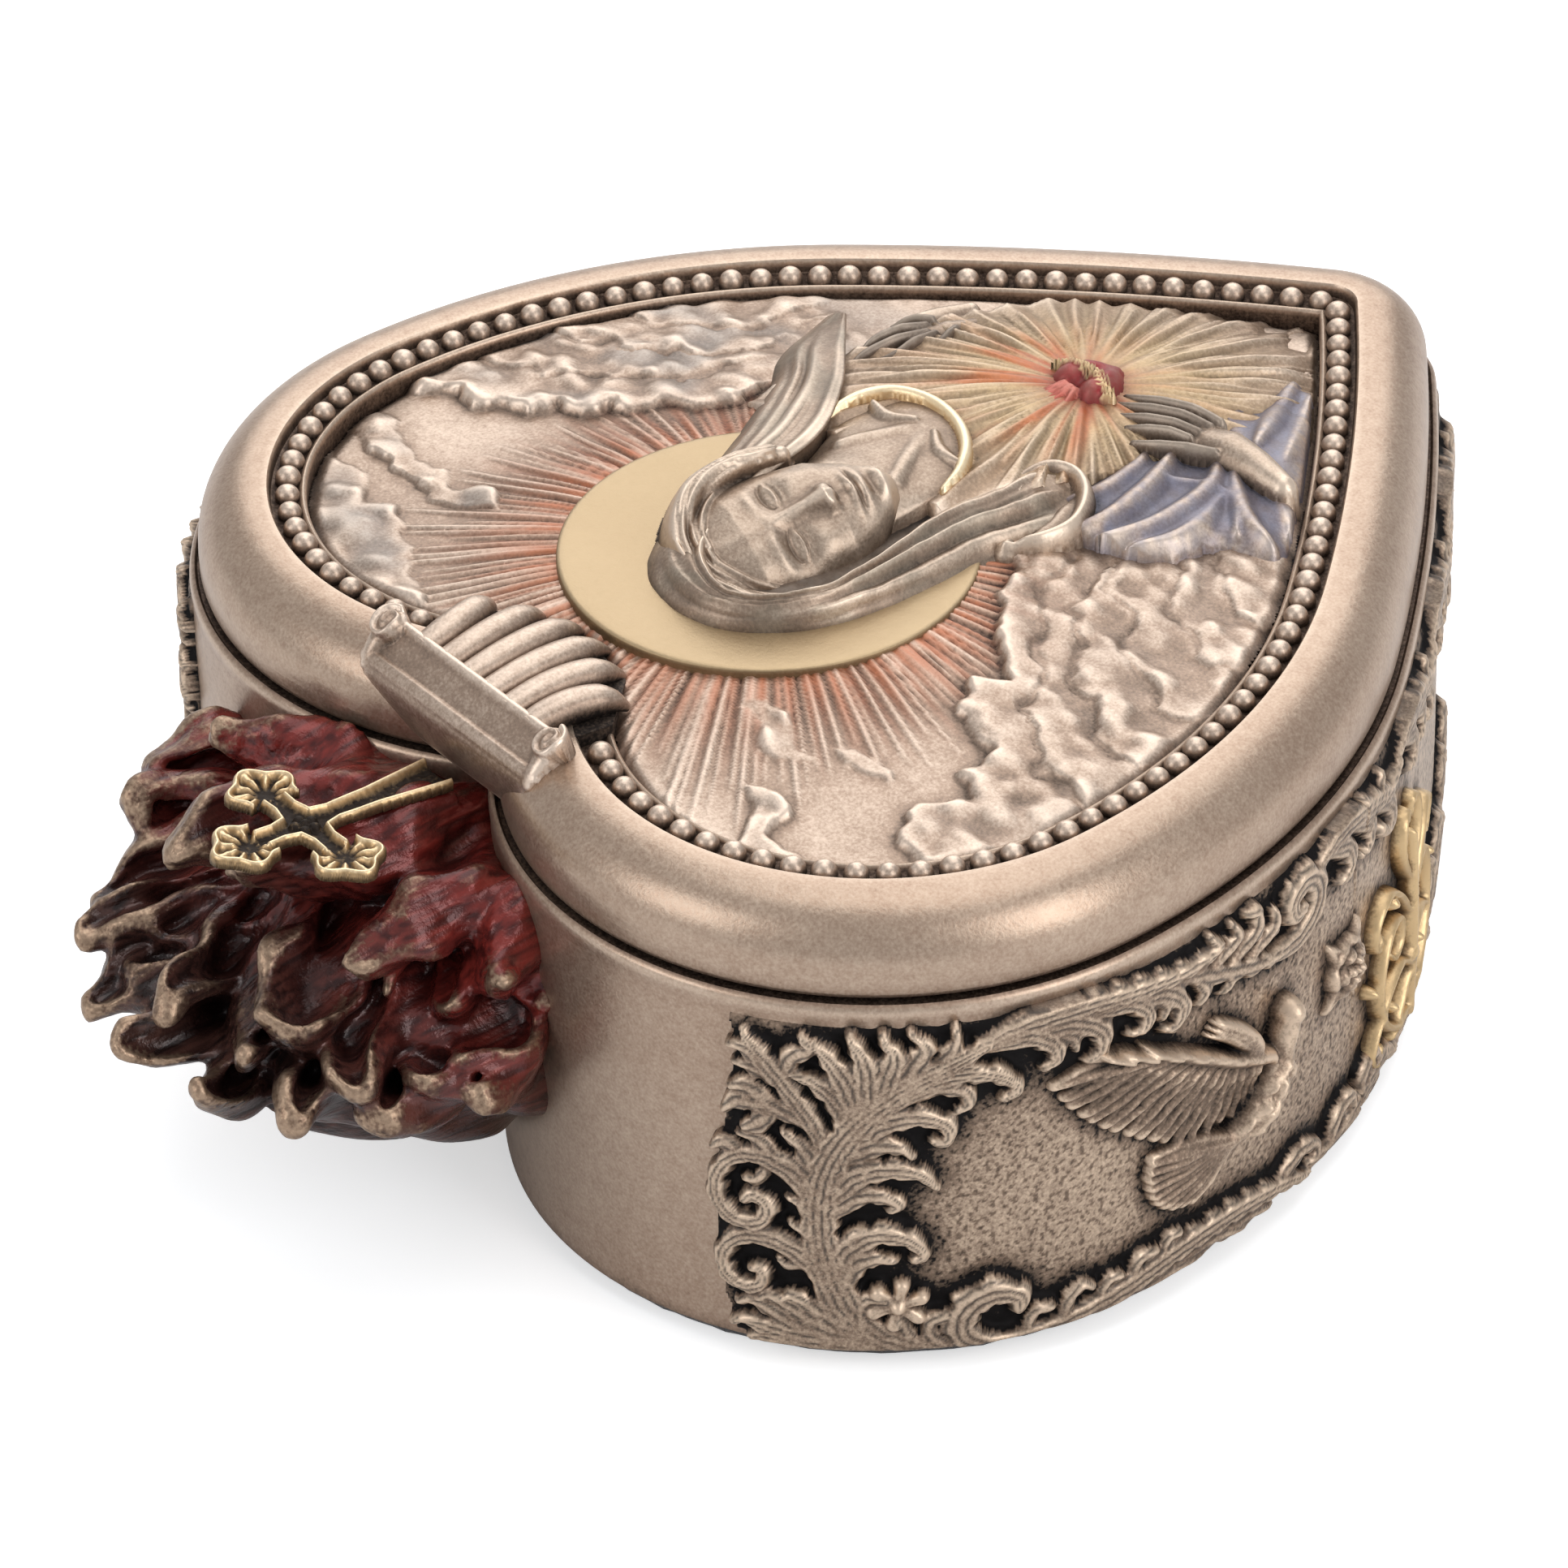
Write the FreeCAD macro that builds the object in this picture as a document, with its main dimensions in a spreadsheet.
"""Heart-shaped trinket box with a lift-off lid, cast relief and a bunch of flames at the cleft.

Frame: millimetres, +Z up. The origin is on the table, midway between the centres of the two lobes.
The heart's axis of symmetry is Y, with the cleft towards +Y and the tip towards -Y.
"""
import FreeCAD, Part
import math
import os
import Sketcher
from FreeCAD import Vector

doc = FreeCAD.newDocument("trinket_box")

# Driving dimensions, millimetres and degrees

SIZES = {
    # heart outline at the lower edge of the lid
    "lobe_radius": 30.0,
    "lobe_offset": 20.3,
    "shoulder_radius": 62.4,
    "side_radius": 226.0,
    "side_angle": 40.0,
    "tip_radius": 8.6,
    # base tray and felt
    "felt_thickness": 1.2,
    "felt_inset": 1.0,
    "base_proud": 0.8,
    "wall_thickness": 3.2,
    "floor_thickness": 3.0,
    "seam_height": 34.7,
    "rim_height": 1.5,
    "rim_proud": 0.5,
    # lid casting
    "lid_height": 7.3,
    "moulding_radius": 5.2,
    "bead_ground_inset": 5.9,
    "bead_ground_depth": 1.2,
    "panel_inset": 9.0,
    "panel_depth": 3.2,
    "ceiling_thickness": 2.4,
    "register_clearance": 0.5,
    "register_thickness": 1.8,
    "register_depth": 3.0,
    # ring of pearls
    "bead_inset": 7.45,
    "bead_radius": 1.05,
    "bead_sink": 0.35,
    "bead_pitch": 2.45,
    # crowned relief ground
    "sky_clearance": 0.1,
    "sky_edge": 1.1,
    "sky_rise": 2.0,
    "sky_span": 45.0,
    "sky_middle": -16.0,
    "ray_width": 2.0,
    "ray_end_width": 0.7,
    "ray_length": 12.0,
    "ray_spacing": 13.0,
    "ray_gap": 0.4,
    "cloud_width": 9.4,
    "cloud_rise": 0.8,
    # halo behind the head
    "halo_radius": 17.0,
    "halo_middle": -5.0,
    "halo_top": 1.4,
    # cleft: scroll bar, plinth and pleated fan
    "scroll_width": 25.0,
    "scroll_radius": 2.0,
    "scroll_front": 24.2,
    "scroll_drop": 0.8,
    "volute_radius": 1.9,
    "volute_width": 2.4,
    "volute_forward": 1.2,
    "volute_lift": 0.9,
    "plinth_width": 11.0,
    "plinth_depth": 3.8,
    "plinth_setback": 0.5,
    "fan_length": 7.2,
    "fan_middle": 17.6,
    "fan_rib_width": 1.55,
    "fan_rib_rise": 2.1,
    "fan_spread": 9.0,
    "fan_pitch": 2.35,
    # flames on the base
    "flame_root": 22.0,
    "flame_middle": 17.5,
    "flame_core_width": 15.5,
    "flame_core_depth": 21.0,
    "flame_core_height": 11.5,
    "flame_hull_width": 21.0,
    "flame_hull_depth": 36.0,
    "flame_hull_height": 14.5,
    "flame_face_at": 24.0,
    "flame_face_turn": 142.7,
    "flame_face_climb": 35.9,
    "flame_top_gap": 0.5,
    # budded cross on the flames
    "cross_root": 29.5,
    "cross_length": 18.8,
    "cross_span": 13.0,
    "cross_arm": 2.4,
    "cross_thickness": 2.2,
    "cross_height": 36.0,
    "cross_tilt": 6.5,
    "cross_bar": 12.5,
    "bud_radius": 1.9,
    # veiled figure
    "robe_middle": -38.0,
    "robe_width": 33.0,
    "robe_length": 40.0,
    "robe_rise": 4.3,
    "head_x": -1.0,
    "head_y": -8.3,
    "head_width": 13.4,
    "head_length": 17.6,
    "head_rise": 6.4,
    "head_tilt": 10.0,
    "neck_width": 8.0,
    "hood_width": 20.0,
    "hood_length": 24.5,
    "fall_width": 8.8,
    "fall_rise": 3.8,
    "near_fall_length": 27.0,
    "near_fall_lean": 4.0,
    "far_fall_length": 34.0,
    "far_fall_lean": 32.0,
    "sleeve_x": -16.0,
    "sleeve_y": -35.0,
    "sleeve_width": 15.0,
    "sleeve_length": 21.0,
    "sleeve_rise": 3.6,
    "sleeve_turn": -35.0,
    "palm_length": 10.0,
    "palm_width": 5.4,
    "finger_length": 7.5,
    "finger_width": 1.5,
    "finger_pitch": 1.3,
    "hand_rise": 3.0,
    "hand_lift": 2.6,
    "left_hand_x": -13.0,
    "left_hand_y": -40.2,
    "left_hand_turn": 12.0,
    "right_hand_x": 15.0,
    "right_hand_y": -35.5,
    "right_hand_turn": 84.0,
    "hem_radius": 6.6,
    "hem_thickness": 1.4,
    "hem_rise": 3.4,
    "heart_middle": -38.0,
    "heart_width": 6.6,
    "heart_length": 6.6,
    "heart_rise": 1.8,
    "heart_lean": 32.0,
    # leafy frames on the walls
    "frame_proud": 1.8,
    "frame_plate": 0.5,
    "frame_low": 1.6,
    "frame_high": 32.8,
    "frame_start": 62.0,
    "frame_stile": 28.0,
    "frame_rail_low": 5.0,
    "frame_rail_high": 4.6,
    "frame_tip_gap": 0.4,
    "frame_tip_stile": 14.0,
    # dove, rose and medallion on each wall
    "dove_bearing": 13.0,
    "dove_height": 14.5,
    "dove_length": 14.0,
    "dove_width": 6.6,
    "dove_proud": 2.6,
    "wing_length": 24.0,
    "wing_width": 9.5,
    "wing_proud": 1.7,
    "rose_bearing": 23.5,
    "rose_height": 19.0,
    "rose_radius": 3.2,
    "rose_proud": 1.9,
    "medallion_bearing": 35.0,
    "medallion_height": 15.0,
    "medallion_radius": 8.0,
    "medallion_bore": 4.6,
    "medallion_proud": 1.6,
}

sheet = doc.addObject("Spreadsheet::Sheet", "Sheet")
for row, (alias, size) in enumerate(SIZES.items(), start=1):
    sheet.set(f"A{row}", alias)
    sheet.set(f"B{row}", str(size))
    sheet.setAlias(f"B{row}", alias)
doc.recompute()


def bound(formula):
    """A formula in the names of the sizes, with each name pointed at its cell."""
    words = []
    word = ""
    for letter in formula + " ":
        if letter.isalnum() or letter == "_":
            word += letter
            continue
        words.append("Sheet." + word if word in SIZES else word)
        words.append(letter)
        word = ""
    return "".join(words).strip()


def number(formula):
    """The value of such a formula."""
    return float(sheet.evalExpression(bound(formula)))


def bind(item, **formulas):
    """Tie properties of an object to formulas; __ stands for a dot in the property's path."""
    for path, formula in formulas.items():
        item.setExpression(path.replace("__", "."), bound(str(formula)))


# Heights and outlines that several pieces share

LID_TOP = "seam_height + lid_height"
BEAD_GROUND = "seam_height + lid_height - bead_ground_depth"
RECESS_FLOOR = "seam_height + lid_height - panel_depth"
CEILING = "seam_height + lid_height - panel_depth - ceiling_thickness"
SKY_TOP = RECESS_FLOOR + " + sky_edge + sky_rise"
WALL_INNER = "base_proud - wall_thickness"
REGISTER_OUTER = "base_proud - wall_thickness - register_clearance"
REGISTER_INNER = "base_proud - wall_thickness - register_clearance - register_thickness"
SHOULDER_X = "lobe_offset + lobe_radius - shoulder_radius"
ALL_ROUND = 150.0
SHARP = 0.3


# Heart outline

def heart_arcs(grow):
    """The right half's arcs by name: centre, radius, start and end angle, counter-clockwise."""
    lobe = number("lobe_radius")
    offset = number("lobe_offset")
    shoulder = number("shoulder_radius")
    side = number("side_radius")
    tip = number("tip_radius")
    bend = math.radians(number("side_angle"))
    lobe_at = Vector(offset, 0, 0)
    shoulder_at = Vector(offset + lobe - shoulder, 0, 0)
    side_at = shoulder_at - Vector(math.cos(bend), -math.sin(bend), 0) * (side - shoulder)
    cleft_at = Vector(0, math.sqrt(lobe ** 2 - offset ** 2), 0)
    arcs = {}
    if grow < 0:
        lobe_end = math.atan2(cleft_at.y, -offset)
        arcs["cleft"] = (cleft_at, -grow, -math.pi / 2, math.atan2(-cleft_at.y, offset))
    else:
        lobe_end = math.pi - math.acos(offset / (lobe + grow))
    if tip + grow > SHARP:
        side_start = -math.acos(-side_at.x / (side - tip))
        tip_at = Vector(0, side_at.y + (side - tip) * math.sin(side_start), 0)
        arcs["tip"] = (tip_at, tip + grow, -math.pi / 2, side_start)
    else:
        side_start = -math.acos(-side_at.x / (side + grow))
    arcs["side"] = (side_at, side + grow, side_start, -bend)
    arcs["shoulder"] = (shoulder_at, shoulder + grow, -bend, 0.0)
    arcs["lobe"] = (lobe_at, lobe + grow, 0.0, lobe_end)
    return arcs


def half_heart(body, name, grow, level):
    """A closed sketch of the right half of the heart, grown outwards by a formula, at a height."""
    step = number(grow)
    sketch = body.newObject("Sketcher::SketchObject", name)
    plane = [item for item in body.Origin.OriginFeatures if item.Role == "XY_Plane"][0]
    sketch.AttachmentSupport = [(plane, "")]
    sketch.MapMode = "FlatFace"
    bind(sketch, AttachmentOffset__Base__z=level)
    index = {}
    for part, (centre, radius, start, end) in heart_arcs(step).items():
        circle = Part.Circle(centre, Vector(0, 0, 1), radius)
        index[part] = sketch.addGeometry(Part.ArcOfCircle(circle, start, end), False)
    lobe, shoulder, side = index["lobe"], index["shoulder"], index["side"]
    first, first_point = (index["cleft"], 1) if "cleft" in index else (lobe, 2)
    last = index.get("tip", side)
    top = sketch.getPoint(first, first_point)
    axis = sketch.addGeometry(Part.LineSegment(top, sketch.getPoint(last, 1)), False)
    rule = Sketcher.Constraint
    shape_rules = [
        rule("Tangent", lobe, 1, shoulder, 2),
        rule("Tangent", shoulder, 1, side, 2),
        rule("Coincident", first, first_point, axis, 1),
        rule("Coincident", last, 1, axis, 2),
        rule("PointOnObject", axis, 1, -2),
        rule("PointOnObject", axis, 2, -2),
        rule("PointOnObject", lobe, 3, -1),
        rule("PointOnObject", shoulder, 3, -1),
    ]
    bend_drop = f"(shoulder_radius + {grow}) * sin(side_angle * 1 deg)"
    sizes = [
        (rule("DistanceX", -1, 1, lobe, 3, number("lobe_offset")), "lobe_offset"),
        (rule("Radius", lobe, number("lobe_radius") + step), f"lobe_radius + {grow}"),
        (rule("Radius", shoulder, number("shoulder_radius") + step), f"shoulder_radius + {grow}"),
        (rule("Radius", side, number("side_radius") + step), f"side_radius + {grow}"),
        (rule("DistanceY", shoulder, 1, -1, 1, number(bend_drop)), bend_drop),
    ]
    if "tip" in index:
        shape_rules.append(rule("Tangent", side, 1, last, 2))
        shape_rules.append(rule("PointOnObject", last, 3, -2))
        sizes.append((rule("Radius", last, number("tip_radius") + step), f"tip_radius + {grow}"))
    if "cleft" in index:
        cleft_height = "sqrt(lobe_radius ^ 2 - lobe_offset ^ 2)"
        shape_rules.append(rule("Tangent", lobe, 2, first, 2))
        shape_rules.append(rule("PointOnObject", first, 3, -2))
        sizes.append((rule("DistanceY", -1, 1, first, 3, number(cleft_height)), cleft_height))
    sketch.addConstraint(shape_rules)
    for constraint, formula in sizes:
        place_in_list = sketch.addConstraint(constraint)
        sketch.setExpression(f"Constraints[{place_in_list}]", bound(formula))
    return sketch


def heart_body(label):
    body = doc.addObject("PartDesign::Body", label)
    body.Label = label
    return body


def pad(body, name, grow, low, high):
    """Add a heart slab between two heights."""
    feature = body.newObject("PartDesign::Pad", name)
    feature.Profile = half_heart(body, name + "_outline", grow, low)
    bind(feature, Length=f"({high}) - ({low})")
    return feature


def pocket(body, name, grow, level, depth, upward=False):
    """Cut a heart-shaped hollow from a height, down or up; the cut must remove material."""
    doc.recompute()
    before = body.Shape.Volume
    feature = body.newObject("PartDesign::Pocket", name)
    feature.Profile = half_heart(body, name + "_outline", grow, level)
    feature.Reversed = upward
    bind(feature, Length=depth)
    doc.recompute()
    if body.Shape.Volume >= before:
        raise RuntimeError(name + " cut nothing")
    return feature


def mirror(body):
    """Complete the heart by mirroring the right half."""
    plane = [item for item in body.Origin.OriginFeatures if item.Role == "YZ_Plane"][0]
    feature = body.newObject("PartDesign::Mirrored", body.Label + "_both_halves")
    feature.MirrorPlane = (plane, [""])
    feature.TransformMode = "Whole shape"
    body.Tip = feature
    doc.recompute()
    return body


def heart_prism(label, grow, low, high):
    body = heart_body(label)
    pad(body, label + "_slab", grow, low, high)
    return mirror(body)


# Small builders for primitives and booleans

def place(item, x, y, z, turn="0", axis=(0, 0, 1)):
    """Bind an object's place and its turn about an axis."""
    item.Placement = FreeCAD.Placement(Vector(), FreeCAD.Rotation(Vector(*axis), 1))
    bind(item, Placement__Base__x=x, Placement__Base__y=y, Placement__Base__z=z)
    bind(item, Placement__Rotation__Angle=turn)
    return item


def ellipsoid(label, x, y, z, wide, long, tall, turn="0"):
    item = doc.addObject("Part::Ellipsoid", label)
    bind(item, Radius1=tall, Radius2=wide, Radius3=long)
    return place(item, x, y, z, turn)


def box(label, length, width, height, x, y, z, turn="0"):
    item = doc.addObject("Part::Box", label)
    bind(item, Length=length, Width=width, Height=height)
    return place(item, x, y, z, turn)


def cylinder(label, radius, height, x, y, z, turn="0", axis=(0, 0, 1)):
    item = doc.addObject("Part::Cylinder", label)
    bind(item, Radius=radius, Height=height)
    return place(item, x, y, z, turn, axis)


def fuse(label, *items):
    item = doc.addObject("Part::MultiFuse", label)
    item.Shapes = list(items)
    item.Label = label
    return item


def common(label, *items):
    item = doc.addObject("Part::MultiCommon", label)
    item.Shapes = list(items)
    item.Label = label
    return item


def cut(label, base, *tools):
    """The base less each tool in turn."""
    for index, tool in enumerate(tools, start=1):
        item = doc.addObject("Part::Cut", f"{label}_{index}")
        item.Base = base
        item.Tool = tool
        base = item
    base.Label = label
    return base


def mirrored(label, source):
    """The same piece on the other side of the heart."""
    item = doc.addObject("Part::Mirroring", label)
    item.Source = source
    item.Normal = Vector(1, 0, 0)
    item.Label = label
    return item


nodes = {}


# Base tray and felt

felt = heart_prism("felt_pad", "base_proud - felt_inset", "0", "felt_thickness")
nodes["felt_pad"] = felt

base_shell = heart_body("base_shell")
pad(base_shell, "wall_slab", "base_proud", "felt_thickness", "seam_height")
pad(base_shell, "rim_bead", "base_proud + rim_proud", "seam_height - rim_height", "seam_height")
pocket(base_shell, "inside", WALL_INNER, "seam_height", "seam_height - felt_thickness - floor_thickness")
mirror(base_shell)
nodes["base_shell"] = base_shell

wall_core = heart_prism("wall_core", "base_proud", "0", "seam_height")
rim_core = heart_prism("rim_core", "base_proud + rim_proud", "seam_height - rim_height", "seam_height")


# Lid casting

def top_rim_edges(shape, level):
    """Names of the outer edges round the top face."""
    names = []
    for index, edge in enumerate(shape.Edges, start=1):
        ends = [vertex.Point.z for vertex in edge.Vertexes]
        curved = isinstance(edge.Curve, Part.Circle)
        if curved and all(abs(end - level) < 1e-6 for end in ends):
            names.append(f"Edge{index}")
    return names


lid_shell = heart_body("lid_shell")
lid_slab = pad(lid_shell, "lid_slab", "0", "seam_height", LID_TOP)
doc.recompute()
moulding = lid_shell.newObject("PartDesign::Fillet", "moulding")
moulding.Base = (lid_slab, top_rim_edges(lid_slab.Shape, number(LID_TOP)))
bind(moulding, Radius="moulding_radius")
pad(lid_shell, "register", REGISTER_OUTER, "seam_height - register_depth", "seam_height")
hollow_depth = f"{CEILING} - seam_height + register_depth"
pocket(lid_shell, "hollow", REGISTER_INNER, "seam_height - register_depth", hollow_depth, upward=True)
pocket(lid_shell, "bead_ground", "-bead_ground_inset", LID_TOP, "bead_ground_depth")
pocket(lid_shell, "recess", "-panel_inset", LID_TOP, "panel_depth")
mirror(lid_shell)
nodes["lid_shell"] = lid_shell


# Crowned relief ground in the recess

recess_prism = heart_prism("recess_prism", "-panel_inset - sky_clearance", RECESS_FLOOR, LID_TOP + " + 10")
crown_radius = "(sky_span ^ 2 + sky_rise ^ 2) / (2 * sky_rise)"
crown = doc.addObject("Part::Sphere", "crown")
bind(crown, Radius=crown_radius)
place(crown, "0", "sky_middle", f"{SKY_TOP} - {crown_radius}")


def crown_level(x, y):
    """Height of the crowned ground at a place."""
    radius = number(crown_radius)
    return number(SKY_TOP) - radius + math.sqrt(radius ** 2 - x ** 2 - (y - number("sky_middle")) ** 2)


# middles of the main cloud banks
CLOUDS = [
    (-31.0, 13.5), (-35.0, 4.0), (-35.0, -6.0), (-30.5, -15.0), (-25.0, -23.5), (-27.0, -32.5), (-18.5, -30.0),
    (31.0, 13.5), (35.0, 4.0), (35.0, -6.0), (30.5, -15.0), (26.0, -23.5),
]
# bearings round the halo that carry a main ray, in steps of the spacing
RAY_STEPS = (-4, -3, -2, -1, 0, 1, 2, 3, 4, 9, 10, 11, 12, 13, 14, 15, 16, 17)


def cloud(x, y):
    """A low billow: the cap of a ball sunk in the ground."""
    half = number("cloud_width") / 2
    rise = number("cloud_rise")
    radius = (half ** 2 + rise ** 2) / (2 * rise)
    return Part.makeSphere(radius, Vector(x, y, crown_level(x, y) + rise - radius))


def ray(bearing):
    """A slim cone that lies on the ground and points away from the halo."""
    way = Vector(math.cos(bearing), math.sin(bearing), 0)
    ends = []
    for reach in ("halo_radius + ray_gap", "halo_radius + ray_gap + ray_length"):
        spot = Vector(0, number("halo_middle"), 0) + way * number(reach)
        ends.append(Vector(spot.x, spot.y, crown_level(spot.x, spot.y)))
    run = ends[1] - ends[0]
    return Part.makeCone(number("ray_width") / 2, number("ray_end_width") / 2, run.Length, ends[0], run)


sky_raw = doc.addObject("Part::Feature", "sky_raw")
doc.recompute()
sky_raw.Shape = crown.Shape.fuse([cloud(*spot) for spot in CLOUDS]
                                 + [ray(math.radians(step * number("ray_spacing"))) for step in RAY_STEPS])
sky_panel = common("sky_panel", recess_prism, sky_raw)
nodes["sky_panel"] = sky_panel


# Halo disc

halo_raw = cylinder("halo_raw", "halo_radius", f"{SKY_TOP} + halo_top - ({RECESS_FLOOR})", "0", "halo_middle",
                    RECESS_FLOOR)
halo_disc = cut("halo_disc", halo_raw, sky_panel)
nodes["halo_disc"] = halo_disc


# Scroll bar with its volutes and the coved plinth that fills the cleft

ALONG_X = (0, 1, 0)
scroll_axis = f"{LID_TOP} - scroll_drop"
roll = cylinder("roll", "scroll_radius", "scroll_width", "-scroll_width / 2", "scroll_front", scroll_axis, "90", ALONG_X)
volutes = []
for side, start in (("near", "-scroll_width / 2"), ("far", "scroll_width / 2 - volute_width")):
    volutes.append(cylinder(f"{side}_volute", "volute_radius", "volute_width", start, "scroll_front + volute_forward",
                            f"{scroll_axis} + volute_lift", "90", ALONG_X))
plinth = box("plinth", "plinth_width", "plinth_depth", f"{scroll_axis} - seam_height", "-plinth_width / 2",
             "scroll_front + scroll_radius - plinth_setback - plinth_depth", "seam_height")
scroll_bar = cut("scroll_bar", fuse("scroll_raw", plinth, roll, *volutes), lid_shell, sky_panel)
nodes["scroll_bar"] = scroll_bar


# Pleated fan of arched ribs below the scroll bar

FAN_RIBS = 7
ribs = []
for index in range(FAN_RIBS):
    step = index - (FAN_RIBS - 1) / 2
    ribs.append(ellipsoid(f"fan_rib_{index + 1}", f"{step} * fan_pitch", "fan_middle", BEAD_GROUND,
                          "fan_rib_width", "fan_length", "fan_rib_rise", f"-{step} * fan_spread"))
nodes["pleated_fan"] = cut("pleated_fan", fuse("fan_raw", *ribs), lid_shell, sky_panel, halo_disc, scroll_bar)


# Ring of pearls, from the fan round each side to the tip

def outline_walk(grow, spacing):
    """Points along the right half of the outline at even spacing, starting at the tip."""
    points = []
    carry = 0.0
    arcs = heart_arcs(grow)
    for name in ("tip", "side", "shoulder", "lobe"):
        if name not in arcs:
            continue
        centre, radius, start, end = arcs[name]
        length = radius * (end - start)
        along = carry
        while along <= length:
            angle = start + along / radius
            points.append(centre + Vector(math.cos(angle), math.sin(angle), 0) * radius)
            along += spacing
        carry = along - length
    return points


def pearl(at):
    """A ball cut flat where it sits on its ground."""
    ball = Part.makeSphere(number("bead_radius"), at + Vector(0, 0, number("bead_sink")))
    size = 2 * number("bead_radius")
    below = Part.makeBox(2 * size, 2 * size, size, at - Vector(size, size, size))
    return ball.cut(below)


fan_half_width = number(f"{(FAN_RIBS - 1) / 2} * fan_pitch + fan_rib_width + bead_radius")
pearls = []
for spot in outline_walk(-number("bead_inset"), number("bead_pitch")):
    if spot.y > 0 and spot.x < fan_half_width:
        continue
    spot.z = number(BEAD_GROUND)
    pearls.append(pearl(spot))
    if spot.x > number("bead_pitch") / 2:
        pearls.append(pearl(Vector(-spot.x, spot.y, spot.z)))
bead_ring = doc.addObject("Part::Feature", "bead_ring")
bead_ring.Shape = Part.makeCompound(pearls)
nodes["bead_ring"] = bead_ring


# Leafy frames: a thin plate round the wall's field, with the main leaves standing on it

band = heart_prism("band_slab", "base_proud + frame_proud", "frame_low", "frame_high")
plate_slab = heart_prism("plate_slab", "base_proud + frame_plate", "frame_low", "frame_high")
right_side = box("right_side", ALL_ROUND, 2 * ALL_ROUND, "frame_high", "frame_tip_gap", -ALL_ROUND, "0")
past_start = box("past_start", ALL_ROUND, ALL_ROUND, "frame_high", "lobe_offset", "0", "0", "frame_start")
past_stile = box("past_stile", ALL_ROUND, ALL_ROUND, "frame_high", "lobe_offset", "0", "0",
                 "frame_start - frame_stile")
window_low = -heart_arcs(0)["tip"][0].y
field = box("field", ALL_ROUND, 2 * ALL_ROUND, "frame_high - frame_low - frame_rail_low - frame_rail_high",
            "frame_tip_gap", f"frame_tip_stile - {window_low}", "frame_low + frame_rail_low")
window = cut("window", field, past_stile)
plate = cut("plate", common("right_plate", plate_slab, right_side), past_start, window)

# main leaves: places along the wall from the cleft and up, and half width
LEAVES = [
    ([(53.0, 2.2), (47.2, 5.0), (44.9, 13.0), (46.4, 22.0), (52.0, 28.0), (58.0, 30.6)], 1.3),
    ([(48.6, 25.2), (53.5, 28.2), (58.4, 27.8), (59.6, 26.2)], 1.1),
    ([(46.6, 21.6), (50.4, 24.2), (54.4, 23.4)], 1.0),
    ([(45.2, 16.0), (48.6, 19.2), (53.4, 18.0)], 1.0),
    ([(45.5, 8.6), (48.2, 12.6), (52.4, 11.4)], 1.0),
    ([(57.4, 2.2), (55.4, 3.8), (56.4, 6.2), (59.6, 5.8)], 1.0),
    ([(45.2, 15.0), (41.8, 19.6), (38.2, 18.4), (37.6, 15.2)], 0.95),
    ([(45.6, 7.8), (42.0, 11.7), (38.6, 11.0), (38.0, 8.0)], 0.95),
    ([(45.6, 19.8), (43.4, 26.0), (40.2, 31.4)], 1.0),
    ([(44.6, 23.2), (41.2, 25.2), (38.4, 25.2)], 1.1),
    ([(47.4, 23.6), (46.8, 28.0), (44.8, 31.6)], 1.0),
    ([(48.8, 25.4), (49.6, 29.0), (49.2, 32.2)], 1.0),
    ([(51.0, 27.2), (52.8, 29.6), (53.0, 32.2)], 0.9),
    ([(49.4, 3.6), (43.6, 5.6), (39.0, 6.2)], 0.9),
    ([(49.2, 2.5), (43.2, 3.0), (38.4, 3.0)], 0.9),
    ([(57.0, 30.4), (62.0, 31.9), (70.0, 31.6), (78.0, 31.0)], 0.75),
    ([(58.0, 30.6), (62.4, 29.9), (62.4, 27.6)], 0.95),
    ([(61.6, 31.2), (66.2, 29.8), (66.0, 27.0)], 0.95),
    ([(66.0, 31.2), (70.6, 29.6), (69.8, 27.6)], 0.9),
    ([(69.8, 30.8), (74.2, 28.6), (73.2, 26.4)], 0.9),
    ([(74.8, 30.6), (80.0, 28.2), (86.6, 26.6), (90.4, 28.6), (88.6, 31.2)], 0.9),
    ([(55.4, 2.3), (68.0, 3.0), (79.0, 4.2), (90.0, 2.6)], 0.8),
]
# repeats of the upper and lower borders beyond the dove, each this far along
BORDER_STARTS = (91.0, 107.0, 123.0, 139.0)
BORDER = [
    ([(0.0, 31.0), (4.0, 31.9), (10.0, 31.2), (15.6, 31.0)], 0.8),
    ([(2.0, 31.2), (5.4, 29.8), (4.2, 27.4)], 0.9),
    ([(6.0, 31.2), (9.4, 29.6), (8.0, 27.4)], 0.9),
    ([(10.0, 30.8), (14.2, 28.2), (12.2, 26.6)], 0.95),
    ([(0.2, 2.6), (8.0, 3.0), (15.6, 2.8)], 0.8),
    ([(3.0, 3.0), (5.0, 4.9), (7.2, 4.0)], 0.7),
    ([(9.0, 3.4), (11.0, 5.7), (13.2, 4.6)], 0.7),
]
LEAF_ROOM = 4.0
# how wide a leaf is at places along it
LEAF_SWELL = ((0.2, 0.75), (0.5, 1.0), (0.8, 0.8))


def wall_spot(run):
    """Point and outward normal on the right wall, a distance along it from the cleft."""
    arcs = heart_arcs(number("base_proud"))
    for name in ("lobe", "shoulder", "side", "tip"):
        centre, radius, start, end = arcs[name]
        length = radius * (end - start)
        if run <= length:
            break
        run -= length
    angle = end - run / radius
    out = Vector(math.cos(angle), math.sin(angle), 0)
    return centre + out * radius, out


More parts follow.
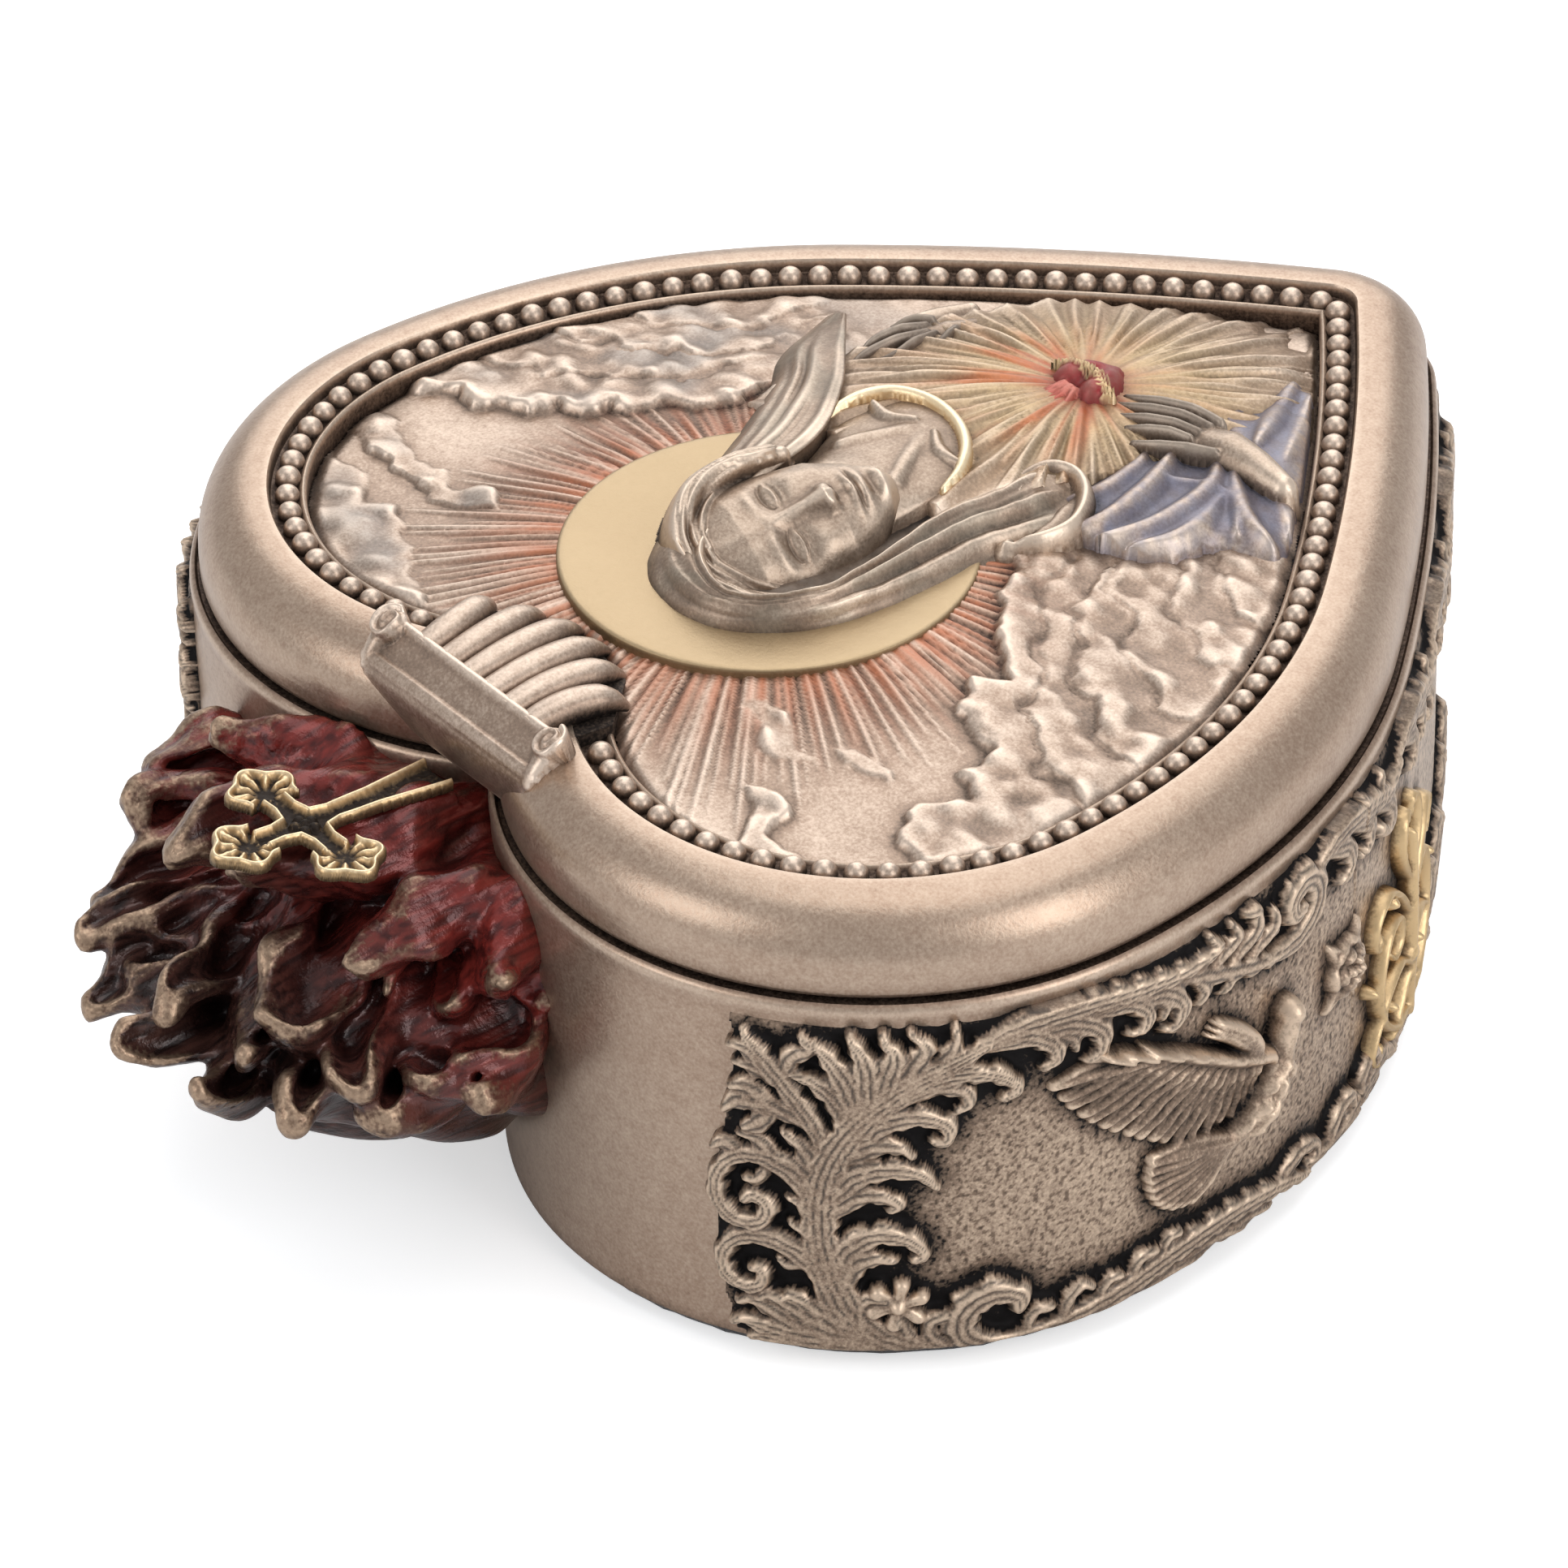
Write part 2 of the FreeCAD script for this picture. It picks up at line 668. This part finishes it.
def leaf(places, half):
    """A block with two curved sides that meet at the leaf's ends, standing through the wall's face."""
    middle = sum(run for run, _ in places) / len(places)
    spot, out = wall_spot(middle)
    along = Vector(out.y, -out.x, 0)
    line = Part.BSplineCurve()
    line.interpolate([Vector(run - middle, height, 0) for run, height in places])
    first, last = line.FirstParameter, line.LastParameter
    sides = []
    for sign in (1, -1):
        edge = [line.value(first)]
        for share, width in LEAF_SWELL:
            at = first + (last - first) * share
            way = line.tangent(at)[0]
            edge.append(line.value(at) + Vector(-way.y, way.x, 0) * (sign * half * width))
        edge.append(line.value(last))
        side = Part.BSplineCurve()
        side.interpolate([spot - out * LEAF_ROOM + along * point.x + Vector(0, 0, point.y) for point in edge])
        sides.append(side.toShape())
    return Part.Face(Part.Wire(sides)).extrude(out * (2 * LEAF_ROOM))


leaf_blocks = [leaf(*row) for row in LEAVES]
for begin in BORDER_STARTS:
    leaf_blocks += [leaf([(begin + run, height) for run, height in places], half) for places, half in BORDER]
leaf_stock = doc.addObject("Part::Feature", "leaf_stock")
leaf_stock.Shape = leaf_blocks[0].fuse(leaf_blocks[1:])
leaves = common("leaves", band, leaf_stock)
right_frame = cut("right_side_frame", fuse("frame_raw", plate, leaves), wall_core)
nodes["right_side_frame"] = right_frame
nodes["left_side_frame"] = mirrored("left_side_frame", right_frame)


# Dove, rose and medallion, each seated on the shoulder stretch of the wall

WALL_RADIUS = "shoulder_radius + base_proud"


def seat_on_wall(item, bearing, height, shift="0", turn=0.0):
    """Put an object on the wall with its own Z along the wall's normal.

    The shift is along the wall towards the tip, and the turn is about the normal.
    """
    angle = f"({bearing} + ({shift}) / ({WALL_RADIUS}) * 180 / pi)"
    place(item, f"{SHOULDER_X} + ({WALL_RADIUS}) * cos({angle} * 1 deg)",
          f"-({WALL_RADIUS}) * sin({angle} * 1 deg)", height)
    item.setExpression("Placement.Rotation.Angle", None)
    yaw = FreeCAD.Rotation(Vector(0, 0, 1), -number(angle))
    spin = FreeCAD.Rotation(Vector(1, 0, 0), turn)
    face_out = FreeCAD.Rotation(Vector(0, 1, 0), 90)
    item.Placement.Rotation = yaw * spin * face_out
    return item


def wall_egg(label, tall, proud, long):
    """A flattened egg whose flat way is the wall's normal."""
    item = doc.addObject("Part::Ellipsoid", label)
    bind(item, Radius1=proud, Radius2=tall, Radius3=long)
    return item


def wall_disc(label, radius, proud):
    """A round plate that stands out of the wall."""
    item = doc.addObject("Part::Cylinder", label)
    bind(item, Radius=radius, Height=proud)
    return item


DOVE_CLIMB = -35.0
WING_CLIMB = 28.0
TAIL_CLIMB = -10.0
dove_body = wall_egg("dove_body", "dove_width / 2", "dove_proud", "dove_length / 2")
upper_wing = wall_egg("upper_wing", "wing_width / 2", "wing_proud", "wing_length / 2")
lower_wing = wall_egg("lower_wing", "wing_width / 3", "wing_proud", "wing_length / 3")
seat_on_wall(dove_body, "dove_bearing", "dove_height", turn=DOVE_CLIMB)
seat_on_wall(upper_wing, "dove_bearing", "dove_height + wing_length / 5", "-wing_length / 2.6", WING_CLIMB)
seat_on_wall(lower_wing, "dove_bearing", "dove_height - dove_width / 1.6", "-dove_length / 2.2", TAIL_CLIMB)
right_dove = cut("right_dove", fuse("dove_raw", dove_body, upper_wing, lower_wing), wall_core)
nodes["right_dove"] = right_dove
nodes["left_dove"] = mirrored("left_dove", right_dove)

rose_raw = wall_egg("rose_raw", "rose_radius", "rose_proud", "rose_radius")
seat_on_wall(rose_raw, "rose_bearing", "rose_height")
right_rose = cut("right_rose", rose_raw, wall_core)
nodes["right_rose"] = right_rose
nodes["left_rose"] = mirrored("left_rose", right_rose)

medallion_raw = wall_disc("medallion_raw", "medallion_radius", "medallion_proud")
medallion_eye = wall_disc("medallion_eye", "medallion_bore", "medallion_proud")
seat_on_wall(medallion_raw, "medallion_bearing", "medallion_height")
seat_on_wall(medallion_eye, "medallion_bearing", "medallion_height")
right_medallion = cut("right_medallion", medallion_raw, medallion_eye, wall_core)
nodes["right_medallion"] = right_medallion
nodes["left_medallion"] = mirrored("left_medallion", right_medallion)


# Veiled figure on the sky panel, built from the ground up so that each piece rests on the last

robe_egg = ellipsoid("robe_egg", "0", "robe_middle", RECESS_FLOOR, "robe_width / 2", "robe_length / 2",
                     f"{SKY_TOP} + robe_rise - ({RECESS_FLOOR})")
robe = cut("robe", common("robe_in_panel", robe_egg, recess_prism), sky_panel, halo_disc)
nodes["robe"] = robe

face_egg = ellipsoid("face_egg", "head_x", "head_y", SKY_TOP, "head_width / 2", "head_length / 2", "head_rise",
                     "head_tilt")
neck_egg = ellipsoid("neck_egg", "head_x + neck_width / 4", "head_y - head_length * 0.5", SKY_TOP, "neck_width / 2",
                     "neck_width", "robe_rise + 1", "head_tilt")
head_raw = common("head_in_panel", fuse("head_raw", face_egg, neck_egg), recess_prism)
head = cut("head", head_raw, sky_panel, halo_disc, robe)
nodes["head"] = head

hood_egg = ellipsoid("hood_egg", "head_x", "head_y + hood_length * 0.15", SKY_TOP, "hood_width / 2",
                     "hood_length / 2", "head_rise * 0.6", "head_tilt")
near_fall = ellipsoid("near_fall", "head_x - hood_width * 0.38", "head_y - near_fall_length * 0.36", SKY_TOP,
                      "fall_width / 2", "near_fall_length / 2", "fall_rise", "near_fall_lean")
far_fall = ellipsoid("far_fall", "head_x + hood_width * 0.72", "head_y - far_fall_length * 0.3", SKY_TOP,
                     "fall_width / 2", "far_fall_length / 2", "fall_rise", "far_fall_lean")
veil_raw = common("veil_in_panel", fuse("veil_raw", hood_egg, near_fall, far_fall), recess_prism)
veil = cut("veil", veil_raw, sky_panel, halo_disc, robe, head)
nodes["veil"] = veil

sleeve_egg = ellipsoid("sleeve_egg", "sleeve_x", "sleeve_y", SKY_TOP, "sleeve_width / 2", "sleeve_length / 2",
                       "sleeve_rise", "sleeve_turn")
sleeve = cut("mantle_sleeve", common("sleeve_in_panel", sleeve_egg, recess_prism), sky_panel, robe, veil)
nodes["mantle_sleeve"] = sleeve


FINGERS = 4


def hand(label, x, y, turn, *under):
    """A palm with four fingers that point along the turn, resting on what is under it."""
    level = f"{SKY_TOP} + hand_lift"
    palm = ellipsoid(label + "_palm", x, y, level, "palm_length / 2", "palm_width / 2", "hand_rise", turn)
    digits = [palm]
    for index in range(FINGERS):
        across = index - (FINGERS - 1) / 2
        reach = "palm_length / 4 + finger_length / 2"
        slip = f"{across} * finger_pitch"
        digits.append(ellipsoid(f"{label}_finger_{index + 1}",
                                f"{x} + ({reach}) * cos({turn} * 1 deg) - ({slip}) * sin({turn} * 1 deg)",
                                f"{y} + ({reach}) * sin({turn} * 1 deg) + ({slip}) * cos({turn} * 1 deg)",
                                level, "finger_length / 2", "finger_width / 2", "hand_rise", turn))
    raw = common(label + "_in_panel", fuse(label + "_raw", *digits), recess_prism)
    return cut(label, raw, sky_panel, *under)


left_hand = hand("left_hand", "left_hand_x", "left_hand_y", "left_hand_turn", robe, sleeve, veil)
right_hand = hand("right_hand", "right_hand_x", "right_hand_y", "right_hand_turn", robe, veil)
nodes["left_hand"] = left_hand
nodes["right_hand"] = right_hand

hem_ring = doc.addObject("Part::Torus", "hem_ring")
bind(hem_ring, Radius1="hem_radius", Radius2="hem_thickness / 2")
place(hem_ring, "head_x + neck_width / 3", "head_y - head_length * 0.6", f"{SKY_TOP} + hem_rise")
hem_front = box("hem_front", "4 * hem_radius", "2 * hem_radius", f"{SKY_TOP} + 3 * hem_rise",
                "head_x - 2 * hem_radius", "head_y - head_length * 0.66 - 2 * hem_radius", "0")
nodes["neckline_trim"] = cut("neckline_trim", common("hem_arc", hem_ring, hem_front), robe, head, veil)

heart_lobes = []
for name, lean in (("near", 1), ("far", -1)):
    heart_lobes.append(ellipsoid(f"heart_{name}_lobe", f"{-lean} * heart_width * 0.2", "heart_middle",
                                 f"{SKY_TOP} + robe_rise - 0.4", "heart_width * 0.3", "heart_length / 2",
                                 "heart_rise", f"{lean} * heart_lean"))
nodes["radiant_heart"] = cut("radiant_heart", fuse("heart_raw", *heart_lobes), robe)


# Flames: a core seated in the cleft, with hollowed tongues that curl out of it

# each tongue: places across and up as seen from the front corner, radii, depth of its hollow and the way it opens
TONGUES = [
    ([(-8.0, 13.6), (-16.0, 15.4), (-22.0, 16.6), (-25.4, 15.0)], [3.4, 3.2, 2.6, 1.8], 0.7, (0.3, -0.7, 0.8)),
    ([(-14.0, 10.6), (-20.0, 10.6), (-25.0, 11.8), (-28.0, 10.4)], [3.6, 3.2, 2.5, 1.7], 0.7, (0.4, -0.8, 0.7)),
    ([(-15.0, 8.2), (-21.0, 7.6), (-26.5, 6.8), (-30.6, 5.0)], [3.4, 3.2, 2.8, 1.7], 0.75, (0.1, 0.3, 0.9)),
    ([(-16.0, 6.2), (-22.0, 4.4), (-28.0, 3.2), (-31.6, 1.8)], [3.2, 2.9, 2.6, 1.6], 0.55, (0.1, 0.6, 0.7)),
    ([(-15.5, 5.0), (-20.0, 2.2), (-26.5, -0.8), (-31.6, -3.4)], [3.4, 3.4, 3.2, 2.0], 0.8, (0.1, 0.75, 0.65)),
    ([(-14.5, 3.8), (-18.5, 1.6), (-22.2, -1.2), (-24.4, -3.2)], [2.6, 2.8, 2.8, 2.0], 0.85, (0.35, 0.5, 0.8)),
    ([(-10.5, 4.6), (-11.6, 0.4), (-13.8, -3.4), (-16.4, -5.2)], [3.2, 3.9, 3.8, 2.4], 0.9, (0.2, 0.55, 0.8)),
    ([(-15.6, -3.6), (-18.2, -6.2), (-19.4, -8.0)], [2.4, 2.0, 1.5], 0.0, (0.3, 0.3, 0.9)),
    ([(-17.0, -4.4), (-22.5, -6.2), (-27.4, -6.4)], [3.2, 3.3, 1.9], 0.9, (0.2, 0.3, 0.9)),
    ([(-7.2, -0.4), (-8.4, -5.0), (-9.4, -8.4), (-9.6, -10.4)], [2.8, 3.2, 3.1, 2.4], 0.75, (-0.3, 0.8, 0.6)),
    ([(-6.6, 9.0), (-4.2, 7.0), (-3.4, 3.6), (-4.8, 1.6)], [3.2, 3.4, 3.0, 1.9], 0.6, (-0.5, 0.2, 0.9)),
    ([(-1.8, 2.4), (-1.8, -1.6), (-1.2, -3.8)], [2.4, 2.4, 1.6], 0.6, (-0.6, 0.3, 0.8)),
    ([(1.0, 1.5), (2.2, -3.0), (0.8, -7.4), (-1.2, -9.2)], [3.0, 3.3, 2.7, 1.6], 0.85, (-0.2, 0.5, 0.8)),
    ([(-11.5, -6.6), (-12.8, -10.6), (-14.6, -13.2)], [3.0, 3.0, 1.8], 0.6, (0.3, 0.5, 0.8)),
    ([(-5.6, -8.4), (-6.2, -12.6), (-8.0, -15.2)], [3.2, 3.0, 1.7], 0.55, (0.2, 0.5, 0.8)),
    ([(-16.5, -7.4), (-19.8, -10.0), (-22.6, -10.8)], [3.0, 2.7, 1.6], 0.75, (0.3, 0.4, 0.8)),
    ([(-1.0, 7.0), (2.4, 3.4), (4.2, -0.6), (4.4, -3.8)], [3.0, 2.9, 2.3, 1.3], 0.5, (-0.4, 0.3, 0.9)),
    ([(0.0, -6.6), (0.6, -10.6), (-1.0, -13.6)], [2.8, 2.5, 1.4], 0.6, (-0.3, 0.5, 0.8)),
]
# locks along the top that carry the cross: places across, out and up, and radii
LOCKS = [
    ([(0.0, 26.0, 27.5), (0.2, 32.0, 31.8), (0.5, 38.0, 33.0), (1.5, 45.0, 33.2)], [5.0, 4.2, 3.6, 2.2]),
    ([(5.5, 26.5, 26.5), (8.0, 32.5, 30.0), (9.0, 39.0, 32.0), (8.5, 45.5, 32.5)], [5.0, 4.4, 3.4, 2.0]),
    ([(-5.5, 26.5, 26.0), (-7.5, 32.0, 29.5), (-8.5, 38.0, 31.0), (-8.0, 44.0, 31.0)], [5.0, 4.4, 3.4, 2.0]),
    ([(9.5, 27.5, 27.5), (13.5, 31.5, 30.5), (17.5, 35.0, 32.0)], [4.4, 3.6, 1.9]),
    ([(-9.5, 27.5, 27.0), (-13.0, 31.0, 29.0), (-16.5, 33.5, 29.0)], [4.4, 3.6, 1.9]),
]
STATIONS = (0.0, 0.35, 0.7, 0.93)
# places along a tongue where its hollow is measured, and how wide the hollow is there
GOUGE = ((0.36, 0.45), (0.55, 0.9), (0.75, 0.95), (0.92, 0.6))
GOUGE_LIFT = 0.62
GOUGE_ROOM = 0.86
FAR_COPY = -5.0
# a tongue starts this share of the way out of the core, and its curve goes from the low to the high share of the hull
TONGUE_ROOT = 0.55
HULL_LOW, HULL_HIGH = 0.62, 0.98

hull_middle = Vector(0, number("flame_root"), number("flame_middle"))
face_middle = Vector(0, number("flame_face_at"), number("flame_middle"))
hull = [number(f"flame_hull_{way}") for way in ("width", "depth", "height")]
face_turn = math.radians(number("flame_face_turn"))
face_climb = math.radians(number("flame_face_climb"))
NEARER = Vector(math.cos(face_turn), math.sin(face_turn), 0) * math.cos(face_climb) + Vector(0, 0, math.sin(face_climb))
ACROSS = Vector(-math.sin(face_turn), math.cos(face_turn), 0)
RISE = NEARER.cross(ACROSS)


def on_hull(across, rise, scale):
    """The point seen at this place on the near side of a bulging hull."""
    seen = face_middle + ACROSS * across + RISE * rise
    start = [(a - b) / (size * scale) for a, b, size in zip(seen, hull_middle, hull)]
    way = [a / (size * scale) for a, size in zip(NEARER, hull)]
    square = sum(a * a for a in way)
    half = sum(a * b for a, b in zip(way, start))
    rest = sum(a * a for a in start) - 1
    return seen + NEARER * ((math.sqrt(max(half * half - square * rest, 0)) - half) / square)


def along(values, share):
    """A value part of the way along a list."""
    place_in_list = share * (len(values) - 1)
    low = min(int(place_in_list), len(values) - 2)
    return values[low] + (values[low + 1] - values[low]) * (place_in_list - low)


def bent_rod(points, radii, deep=0.0, opens=None):
    """A rod of changing width along a curve, drawn to a blunt tip, with a gutter along its open side."""
    line = Part.BSplineCurve()
    line.interpolate(points)
    tip = points[-1] + (points[-1] - points[-2]).normalize() * radii[-1]
    first, length = line.FirstParameter, line.LastParameter - line.FirstParameter

    def ring(share, width, shift=0.0):
        at = line.value(first + length * share)
        way = line.tangent(first + length * share)[0]
        if shift:
            over = opens - way * opens.dot(way)
            at = at + over.normalize() * shift
        return Part.Wire(Part.Circle(at, way, width).toShape())

    rod = Part.makeLoft([ring(share, along(radii, share)) for share in STATIONS] + [Part.Vertex(tip)], True)
    if deep:
        gouge = [ring(share, along(radii, share) * GOUGE_ROOM * deep * wide, along(radii, share) * GOUGE_LIFT)
                 for share, wide in GOUGE]
        rod = rod.cut(Part.makeLoft(gouge, True))
    return rod


def flame_tongues():
    rods = []
    for places, radii, deep, opens in TONGUES:
        scales = [HULL_LOW + (HULL_HIGH - HULL_LOW) * index / (len(places) - 1) for index in range(len(places))]
        points = [on_hull(*spot, scale) for spot, scale in zip(places, scales)]
        points.insert(0, hull_middle + (points[0] - hull_middle) * TONGUE_ROOT)
        way = ACROSS * opens[0] + RISE * opens[1] + NEARER * opens[2]
        near = bent_rod(points, [radii[0]] + radii, deep, way)
        rods.append(near)
        if sum(point.x for point in points) / len(points) < FAR_COPY:
            rods.append(near.mirror(Vector(), Vector(1, 0, 0)))
    for places, radii in LOCKS:
        points = [hull_middle] + [Vector(*spot) for spot in places]
        rods.append(bent_rod(points, [radii[0]] + radii))
    return rods


core = Part.makeSphere(1.0)
stretch = FreeCAD.Matrix()
stretch.scale(number("flame_core_width"), number("flame_core_depth"), number("flame_core_height"))
core = core.transformGeometry(stretch)
core.translate(hull_middle)
flame_raw = doc.addObject("Part::Feature", "flame_raw")
flame_raw.Shape = core.fuse(flame_tongues())
lid_room = box("lid_room", ALL_ROUND, "scroll_front + volute_forward + volute_radius + flame_top_gap", ALL_ROUND,
               -ALL_ROUND / 2, "0", "seam_height - flame_top_gap")
below_felt = box("below_felt", ALL_ROUND, ALL_ROUND, ALL_ROUND, -ALL_ROUND / 2, "0", f"felt_thickness - {ALL_ROUND}")
flame_cluster = cut("flame_cluster", flame_raw, lid_room, below_felt, wall_core, rim_core)
nodes["flame_cluster"] = flame_cluster


# Budded cross lying on the flames, tilted up towards its head

def cross_bud(label, x, y):
    return cylinder(label, "bud_radius", "cross_thickness", x, y, "0")


cross_pieces = [
    box("cross_stem", "cross_arm", "cross_length", "cross_thickness", "-cross_arm / 2", "0", "0"),
    box("cross_beam", "cross_span", "cross_arm", "cross_thickness", "-cross_span / 2", "cross_bar - cross_arm / 2", "0"),
]
for name, x, y, sideways in (
    ("head", "0", "cross_length", False),
    ("near", "-cross_span / 2", "cross_bar", True),
    ("far", "cross_span / 2", "cross_bar", True),
):
    cross_pieces.append(cross_bud(f"{name}_bud", x, y))
    for side, shift in (("a", "+ bud_radius"), ("b", "- bud_radius")):
        back = f"cross_bar {shift}" if sideways else "cross_length - bud_radius"
        over = f"{x} {shift}"
        if sideways:
            over = f"{x} + bud_radius" if name == "near" else f"{x} - bud_radius"
        cross_pieces.append(cross_bud(f"{name}_bud_{side}", over, back))
cross_raw = fuse("cross_raw", *cross_pieces)
place(cross_raw, "0", "cross_root", "cross_height - cross_thickness", "cross_tilt", (1, 0, 0))
nodes["cross"] = cut("cross", cross_raw, flame_cluster)


# Build, check and write

doc.recompute()
for item in doc.Objects:
    if "Invalid" in item.State or "Error" in item.State:
        raise RuntimeError(f"{item.Label} failed: {item.State}")
for name, item in nodes.items():
    if item.Shape.isNull() or not item.Shape.isValid():
        raise RuntimeError(f"{name} has no valid shape")

os.makedirs("parts", exist_ok=True)
for name, item in nodes.items():
    item.Shape.exportStep(f"parts/{name}.step")
    print(name, len(item.Shape.Solids), "solids", round(item.Shape.Volume, 1), "mm3")
